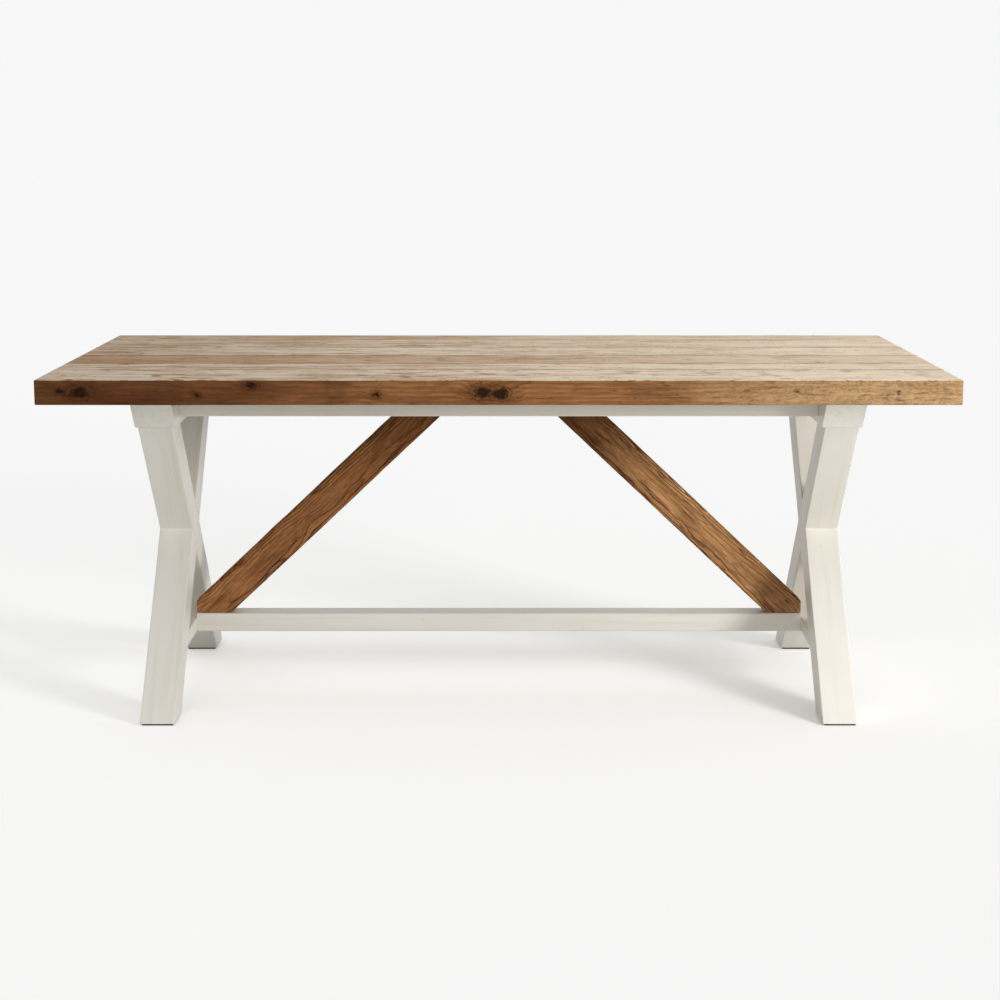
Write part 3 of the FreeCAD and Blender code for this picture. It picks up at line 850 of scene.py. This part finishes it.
class LeaningBar:
    """A bar that leans along one level axis, cut level at its foot and its head."""

    def __init__(self, axis, foot, head, foot_height, head_height, thick):
        self.axis = axis
        self.foot, self.head = np.array(foot), np.array(head)
        self.heights = (foot_height, head_height)
        self.thick = thick
        run = self.head.mean() - self.foot.mean()
        rise = head_height - foot_height
        long = math.hypot(run, rise)
        slope = rise / long
        widths = [np.ptp(self.foot) * slope, np.ptp(self.head) * slope]
        self.size = np.array([long, sum(widths) / 2, thick[1] - thick[0]])
        lean = np.zeros(3)
        lean[axis], lean[2] = run / long, slope
        flat = np.zeros(3)
        flat[1 - axis] = 1.0
        self.axes = [lean, np.cross(flat, lean), flat]

    def edges(self, height):
        """Low and high place of the bar along its level axis at that height."""
        up = (height - self.heights[0]) / (self.heights[1] - self.heights[0])
        return self.foot + (self.head - self.foot) * up

    def bent(self, points):
        """Points of the upright block, moved to where the bar leans."""
        up, over = points[:, 0] / self.size[0], points[:, 1] / self.size[1]
        ends = self.foot[None, :] + (self.head - self.foot)[None, :] * up[:, None]
        made = np.empty_like(points)
        made[:, self.axis] = ends[:, 0] + (ends[:, 1] - ends[:, 0]) * over
        made[:, 1 - self.axis] = self.thick[0] + points[:, 2]
        made[:, 2] = self.heights[0] + (self.heights[1] - self.heights[0]) * up
        return made

    def cutter(self, thick):
        """A plain prism as long and wide as the bar, over that stretch of its thickness."""
        size = np.array([self.size[0], self.size[1], thick[1] - thick[0]])
        points, quads = block_surface([np.array([0.0, side]) for side in size])
        made = self.bent(points)
        made[:, 1 - self.axis] = thick[0] + points[:, 2]
        return new_mesh("lap", made, quads)


def painted_block(size, look, start):
    """Points, quads and wear of a painted timber: its long edges unevenly soft, its sawn ends sharp."""
    points, quads = block(size, look.arris, TIMBER_SPACING)
    soft = look.arris * (PAINT_THIN + PAINT_THICK * wander(points, PAINT_TURNS, start))
    radii = np.stack([np.full(len(soft), END_ARRIS), soft, soft], axis=1)
    return rounded(points, size, radii)[0], quads, edge_wear(points, size)


def leg_bar(node, side):
    """The bar that a leg's solid follows, from its glide to the bearer's underside."""
    points = corners(node)
    foot_height, shoulder = points[:, 2].min(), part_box(f"{side}_bearer")[0].z
    foot, head = [span(points, 1, 2, height) for height in (foot_height, shoulder)]
    return LeaningBar(1, foot, head, foot_height, shoulder, (points[:, 0].min(), points[:, 0].max()))


def build_legs(look, paint):
    """Two square legs to each frame, half-lapped where they cross."""
    start = 0.0
    for side in SIDES:
        names = [f"{side}_leg_rising_rear", f"{side}_leg_rising_front"]
        bars = [leg_bar(name, side) for name in names]
        low, high = bars[0].thick
        middle = (low + high) / 2
        laps = [(middle, high + OVERRUN), (low - OVERRUN, middle)]
        if side == "right":
            laps.reverse()
        for name, bar, other, lap in zip(names, bars, bars[::-1], laps):
            start += 1.0
            shaped, quads, wear = painted_block(bar.size, look, start)
            mesh = carve(new_mesh(name, bar.bent(shaped), quads, wear=wear), [other.cutter(lap)])
            shift = (LEG_GRAIN * start, 0.0, 0.0)
            put_piece(name, "timber", mesh, paint, bar.axes, shift)


def level_timber(node, axis, ends_low, ends_high, look, paint, start, holes):
    """A level timber whose ends may slope: its half-lengths are given at its underside and its top."""
    low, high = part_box(node)
    size = np.array([2 * max(ends_low, ends_high), high[1 - axis] - low[1 - axis], high.z - low.z])
    shaped, quads, wear = painted_block(size, look, start)
    half = ends_low + (ends_high - ends_low) * shaped[:, 2] / size[2]
    made = np.empty_like(shaped)
    made[:, axis] = (shaped[:, 0] / size[0] * 2 - 1) * half
    made[:, 1 - axis] = low[1 - axis] + shaped[:, 1]
    made[:, 2] = low.z + shaped[:, 2]
    mesh = carve(new_mesh(node, made, quads, wear=wear), sunk_holes(low, high, holes))
    axes = np.eye(3)[[axis, 1 - axis, 2]]
    put_piece(node, "timber", mesh, paint, axes, (TIMBER_GRAIN * start, 0.0, 0.0))


def build_bearers(look, paint):
    """A bearer on each frame, its ends cut on the legs' slope."""
    for order, side in enumerate(SIDES):
        node = f"{side}_bearer"
        low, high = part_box(node)
        under = leg_bar(f"{side}_leg_rising_rear", side).edges(low.z)[1]
        level_timber(node, 1, under, high.y, look, paint, BEARER_START + order, SCREWED)


def build_cross_rails(look, paint):
    """A low rail between the legs of each frame."""
    for order, side in enumerate(SIDES):
        node = f"{side}_cross_rail"
        leg = leg_bar(f"{side}_leg_rising_rear", side)
        halves = [-leg.edges(corner.z)[1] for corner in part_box(node)]
        level_timber(node, 1, *halves, look, paint, RAIL_START + order, BOLTED)


def build_long_timbers(look, paint):
    """Aprons and stretcher, which run from frame to frame, and the centre bearer between the aprons."""
    for order, node in enumerate(LONG_TIMBERS):
        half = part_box(node)[1].x
        level_timber(node, 0, half, half, look, paint, LONG_START + order, SCREWED)
    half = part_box("centre_bearer")[1].y
    level_timber("centre_bearer", 1, half, half, look, paint, CENTRE_START, SCREWED)


def brace_bar(points, side):
    """The longer bar that a brace is cut from, and the planes of its plumb cuts at the head and the heel."""
    low, high = points.min(axis=0), points.max(axis=0)
    foot, head = [list(span(points, 0, 2, height)) for height in (low[2], high[2])]
    inner, outer = (1, 0) if side == "left" else (0, 1)
    head_plane, heel_plane = head[inner], foot[outer]
    head_cut, heel_cut = [span(points, 2, 0, plane) for plane in (head_plane, heel_plane)]
    lower_edge = (head_plane - foot[inner]) / (head_cut[0] - low[2])
    upper_edge = (head[outer] - heel_plane) / (high[2] - heel_cut[1])
    head[inner] = foot[inner] + lower_edge * (high[2] - low[2])
    foot[outer] = head[outer] - upper_edge * (high[2] - low[2])
    return LeaningBar(0, foot, head, low[2], high[2], (low[1], high[1])), head_plane, heel_plane


def build_braces(look):
    """Two raking braces with hewn faces, cut plumb by the centre bearer at the head and at the heel."""
    for order, side in enumerate(SIDES):
        node = f"{side}_brace"
        points = corners(node)
        low, high = points.min(axis=0), points.max(axis=0)
        bar, head_plane, heel_plane = brace_bar(points, side)

        grid, quads = block(bar.size, look.arris, BRACE_SPACING)
        rough = wander(grid, HEWN_EDGE_TURNS, HEWN_EDGE_STARTS[order])
        soft = look.arris + look.edge_wear * np.clip(HEWN_GAIN * rough - 1.0, 0.0, 1.0)
        shaped, out = rounded(grid, bar.size, soft)
        dips = wander(grid, HEWN_FACE_TURNS, HEWN_FACE_STARTS[order])
        shaped -= out * (look.hewn_depth * dips)[:, None]
        finish = {"wear": edge_wear(grid, bar.size), "rim": edge_wear(grid, bar.size, RIM_BAND)}
        mesh = new_mesh(node, bar.bent(shaped), quads, **finish)

        stop = box_mesh("stop", *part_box("centre_bearer"))
        near, far = sorted((heel_plane, heel_plane + (heel_plane - head_plane)))
        heel_low = (near, low[1] - OVERRUN, low[2] - OVERRUN)
        heel = box_mesh("heel", heel_low, (far, high[1] + OVERRUN, high[2]))
        mesh = carve(mesh, [stop, heel, *sunk_holes(low, high, ("top_screws",))])

        wood = brace_wood(f"{node}_wood", look, *BRACE_WOODS[order])
        shift = -np.array(bar.axes) @ ((low + high) / 2) + np.array([BRACE_GRAIN * order, 0.0, 0.0])
        put_piece(node, "timber", mesh, wood, bar.axes, shift)


def build_board(order, node, look):
    """One board of the top: bevelled where it meets its neighbours, worn along the table's outer edges."""
    low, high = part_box(node)
    size = np.array(high - low)
    points, quads = block(size, look.arris, BOARD_SPACING)
    where = points + np.array(low)
    chips = np.clip(wander(where, CHIP_TURNS, CHIP_START) - CHIP_LEVEL, 0.0, 1.0) / (1.0 - CHIP_LEVEL)
    plain = PLAIN_WEAR * wander(where, WORN_EDGE_TURNS)
    worn = look.arris + look.edge_wear * (plain + chips)
    to_joint = np.full(len(points), np.inf)
    if order > 0:
        to_joint = points[:, 1]
    if order < len(BOARDS) - 1:
        to_joint = np.minimum(to_joint, size[1] - points[:, 1])
    soft = np.minimum(worn, np.maximum(look.joint, to_joint / 2))
    shaped, out = rounded(points, size, soft)
    dips = wander(where, SCRUB_TURNS, SCRUB_START + order)
    shaped -= out * (look.scrub_depth * dips * (1 - np.abs(out[:, 0])))[:, None]
    upward = np.clip((out[:, 2] - UPWARD_LOW) / (UPWARD_HIGH - UPWARD_LOW), 0, 1)
    seam = np.clip(1 - to_joint / SEAM_BAND, 0, 1)
    finish = {"wear": edge_wear(points, size), "scrubbed": upward, "seam": seam}
    mesh = new_mesh(node, shaped + np.array(low), quads, **finish)

    across, under = BOARD_PITHS[order]
    pith = ((low.y + high.y) / 2 + across, low.z + under)
    tones, spots = OTHER_TONES, []
    if order == 0:
        tones = FRONT_TONES
        spots = [((x, low.y, low.z + up), (long, KNOT_DEPTH, tall)) for x, up, long, tall in EDGE_KNOTS]
    wood = oak(f"{node}_oak", look, pith, BOARD_WARMTHS[order], BOARD_MARKS[order], tones, spots)
    put_piece(node, "timber", mesh, wood, shift=(BOARD_GRAIN * order, 0.0, 0.0))


def build_glides(look):
    """A rubber pad with rounded edges under each foot."""
    rubber = glide_rubber("glide_rubber_dark", look)
    for node in GLIDES:
        low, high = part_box(node)
        size = np.array(high - low)
        radius = size[2] * GLIDE_ARRIS_SHARE
        points, quads = block(size, radius, TIMBER_SPACING)
        shaped, _ = rounded(points, size, np.full(len(points), radius))
        put_piece(node, "pad", new_mesh(node, shaped + np.array(low), quads), rubber)


def build_fixings(look):
    """Screws and bolts with sockets, and the finishes of the hidden tongues, dowels and nuts."""
    metal = steel("zinc_steel", look)
    for node in (*SCREWED, *BOLTED):
        points, faces = [], []
        for solid in islands(node):
            more_points, more_faces = fixing_body(Fixing(solid))
            faces += [[corner + len(points) for corner in face] for face in more_faces]
            points += more_points
        put_piece(node, "set", new_mesh(node, points, faces), metal)
    hidden = inner_wood("hidden_beech", look)
    for node in (*TONGUES, *DOWELS):
        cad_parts[node].data.materials[0] = hidden
    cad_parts["barrel_nuts"].data.materials[0] = metal


class SAWBUCK_OT_table_top(bpy.types.Operator):
    """Builds the oak boards of the top"""

    bl_idname = "sawbuck.table_top"
    bl_label = "Table top"

    def execute(self, context):
        for order, node in enumerate(BOARDS):
            build_board(order, node, context.scene.sawbuck_top)
        return {"FINISHED"}


class SAWBUCK_OT_painted_frame(bpy.types.Operator):
    """Builds the painted legs, bearers, rails, aprons and stretcher"""

    bl_idname = "sawbuck.painted_frame"
    bl_label = "Painted frame"

    def execute(self, context):
        look = context.scene.sawbuck_paint
        paint = cream_paint("cream_eggshell", look)
        build_legs(look, paint)
        build_bearers(look, paint)
        build_cross_rails(look, paint)
        build_long_timbers(look, paint)
        return {"FINISHED"}


class SAWBUCK_OT_braces(bpy.types.Operator):
    """Builds the two hewn braces"""

    bl_idname = "sawbuck.braces"
    bl_label = "Braces"

    def execute(self, context):
        build_braces(context.scene.sawbuck_brace)
        return {"FINISHED"}


class SAWBUCK_OT_glides(bpy.types.Operator):
    """Builds the rubber glides under the feet"""

    bl_idname = "sawbuck.glides"
    bl_label = "Glides"

    def execute(self, context):
        build_glides(context.scene.sawbuck_fitting)
        return {"FINISHED"}


class SAWBUCK_OT_fixings(bpy.types.Operator):
    """Builds the screws and bolts, and finishes the hidden tongues, dowels and nuts"""

    bl_idname = "sawbuck.fixings"
    bl_label = "Fixings"

    def execute(self, context):
        build_fixings(context.scene.sawbuck_fitting)
        return {"FINISHED"}


def show_apart(sheet, output, lighting, shown):
    """Joins a shader that lights the table, and one for rays from the camera or a glossy or clear face."""
    seen = 0.0
    for kind in ("Camera", "Glossy", "Transmission"):
        seen = sheet.put("LightPath", output=f"Is {kind} Ray").larger(seen)
    sheet.put(output, {"Surface": sheet.put("MixShader", {0: seen, 1: lighting, 2: shown})})


def lamp_level(sheet, where, watts, stand, aim):
    """How brightly a lamp lights each place of a white floor, from its power, distance and tilt."""
    offset = sheet.vector("SUBTRACT", where, stand)
    facing = (Vector(aim) - Vector(stand)).normalized()
    beam = sheet.vector("DOT_PRODUCT", offset, facing, output="Value").larger(0.0)
    return beam / offset.length() ** 4.0 * (watts * stand[2] / math.pi ** 2)


def corner_share(along, across):
    """Share of the sky hidden by a level plate from straight overhead to a corner, given in its heights."""
    total = 0.0
    for side, other in ((along, across), (across, along)):
        slant = (side * side + 1.0).root()
        total = total + side / slant * (other / slant).angle()
    return total / (2 * math.pi)


def hidden_sky(where):
    """Share of the sky that the table top hides from each place of the floor."""
    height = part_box(BOARDS[0])[0].z
    reaches = []
    for axis in range(2):
        here = where.side(axis)
        reaches.append([(corner[axis] - here) / height for corner in CAD_BOX])
    hidden = 0.0
    for i, along in enumerate(reaches[0]):
        for j, across in enumerate(reaches[1]):
            share = corner_share(along, across)
            hidden = hidden + share if i == j else hidden - share
    return hidden


def floor_material(name, look):
    """Pale floor: it looks like the backdrop, evenly, and keeps the shadows that the lamps cast."""
    sheet = Sheet(bpy.data.materials.new(name))
    bounce = sheet.put("BsdfDiffuse", {"Color": (*look.floor, 1.0)})
    level = max(look.backdrop)
    tint = [channel / level for channel in look.backdrop]
    where = sheet.position()
    made_up = hidden_sky(where) * (SKY_MADE_UP * (look.fill + look.overhead))
    lit = look.fill + OVERHEAD_SHARE * look.overhead
    for lamp, (stand, aim, _) in LAMPS.items():
        lit = lit + lamp_level(sheet, where, getattr(look, lamp), stand, aim)
    catch = (level / lit).smaller(FLOOR_CATCH)
    missing = (level - (lit - made_up) * catch).larger(0.0)
    glow = sheet.put("Emission", {"Color": (*tint, 1.0), "Strength": missing})
    pale = sheet.blend(1.0, sheet.grey(catch), tint, "MULTIPLY")
    catching = sheet.put("BsdfDiffuse", {"Color": pale})
    shown = sheet.put("AddShader", {0: glow, 1: catching})
    show_apart(sheet, "OutputMaterial", bounce, shown)
    return sheet.owner


def build_floor(look):
    """A wide level floor, in faces small enough to shade evenly."""
    edges = np.linspace(-FLOOR_HALF, FLOOR_HALF, FLOOR_CELLS + 1)
    points = [(x, y, 0.0) for x in edges for y in edges]
    row = len(edges)
    starts = [i * row + j for i in range(FLOOR_CELLS) for j in range(FLOOR_CELLS)]
    mesh = new_mesh("floor", points, [[s, s + row, s + row + 1, s + 1] for s in starts])
    mesh.materials.append(floor_material("pale_floor", look))
    floor = show("floor", mesh)


def build_world(look):
    """Soft fill light, brighter from above, with the pale backdrop where it is seen."""
    world = bpy.data.worlds.new("studio")
    bpy.context.scene.world = world
    sheet = Sheet(world)
    upward = sheet.put("TexCoord", output="Generated").side(2).larger(0.0)
    level = upward * look.overhead + look.fill
    fill = sheet.put("Background", {"Color": (1.0, 1.0, 1.0, 1.0), "Strength": level})
    shown = sheet.put("Background", {"Color": (*look.backdrop, 1.0), "Strength": 1.0})
    show_apart(sheet, "OutputWorld", fill, shown)


def build_lamps(look):
    """A soft lamp on the right and a wide low one in front."""
    for name, (stand, aim, (wide, tall)) in LAMPS.items():
        data = bpy.data.lights.new(name, "AREA")
        data.energy, data.shape, data.size, data.size_y = getattr(look, name), "RECTANGLE", wide, tall
        lamp = show(name, data)
        lamp.location = stand
        lamp.rotation_euler = (Vector(aim) - Vector(stand)).to_track_quat("-Z", "Y").to_euler()


def build_camera(look):
    """The photograph's view of the table."""
    data = bpy.data.cameras.new("view")
    data.lens, data.sensor_width, data.clip_end = look.lens, SENSOR_WIDTH, SIGHT
    camera = show("view", data)
    camera.location = (look.camera_side, look.camera_back, look.camera_height)
    camera.rotation_euler = (math.pi / 2 - look.camera_tilt, 0.0, 0.0)
    bpy.context.scene.camera = camera


class SAWBUCK_OT_stage(bpy.types.Operator):
    """Builds the floor, the lamps and the camera"""

    bl_idname = "sawbuck.stage"
    bl_label = "Stage"

    def execute(self, context):
        look = context.scene.sawbuck_stage
        build_floor(look)
        build_world(look)
        build_lamps(look)
        build_camera(look)
        context.scene.view_settings.view_transform = "Standard"
        return {"FINISHED"}


OPERATORS = (
    SAWBUCK_OT_table_top,
    SAWBUCK_OT_painted_frame,
    SAWBUCK_OT_braces,
    SAWBUCK_OT_glides,
    SAWBUCK_OT_fixings,
    SAWBUCK_OT_stage,
)
LOOKS = {
    "sawbuck_top": TopLook,
    "sawbuck_paint": PaintLook,
    "sawbuck_brace": BraceLook,
    "sawbuck_fitting": FittingLook,
    "sawbuck_stage": StageLook,
}


class SAWBUCK_PT_panel(bpy.types.Panel):
    """Lists the table's pieces and their settings"""

    bl_idname = "SAWBUCK_PT_panel"
    bl_label = "Sawbuck table"
    bl_space_type = "VIEW_3D"
    bl_region_type = "UI"
    bl_category = "Sawbuck table"

    def draw(self, context):
        for operator in OPERATORS:
            self.layout.operator(operator.bl_idname)
        for name, look in LOOKS.items():
            box = self.layout.box()
            box.label(text=look.__doc__)
            for setting in look.__annotations__:
                box.prop(getattr(context.scene, name), setting)


def register():
    for made in (*LOOKS.values(), *OPERATORS, SAWBUCK_PT_panel):
        bpy.utils.register_class(made)
    for name, look in LOOKS.items():
        setattr(bpy.types.Scene, name, PointerProperty(type=look))


def unregister():
    for name in LOOKS:
        delattr(bpy.types.Scene, name)
    for made in (SAWBUCK_PT_panel, *reversed(OPERATORS), *reversed(list(LOOKS.values()))):
        bpy.utils.unregister_class(made)


def main():
    register()
    bpy.ops.sawbuck.table_top()
    bpy.ops.sawbuck.painted_frame()
    bpy.ops.sawbuck.braces()
    bpy.ops.sawbuck.glides()
    bpy.ops.sawbuck.fixings()
    bpy.ops.sawbuck.stage()


if __name__ == "__main__":
    main()
